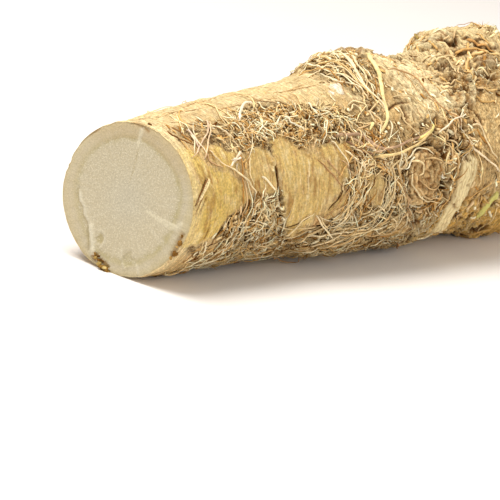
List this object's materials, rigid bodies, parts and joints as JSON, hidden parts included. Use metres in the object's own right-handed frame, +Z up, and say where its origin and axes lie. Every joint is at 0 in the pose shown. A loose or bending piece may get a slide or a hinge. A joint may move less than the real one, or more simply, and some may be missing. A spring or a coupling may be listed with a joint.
{
  "type": "horseradish root",
  "caption": "Thick tapering horseradish root lying on its side, knife-cut square at the thin end, with a knobbly rounded crown at the other.",
  "frame": {"origin": "centre of the bounding box in plan, at the surface the root rests on", "axes": "+X along the root from the knife-cut end to the crown, +Z up, +Y across the root"},
  "size_m": [0.2066, 0.0652, 0.0635],
  "materials": {
    "root_skin": "rough fibrous root skin, cream to tan, matt"
  },
  "bodies": {
    "root": {"horseradish_root": "root_skin"}
  },
  "joints": []
}
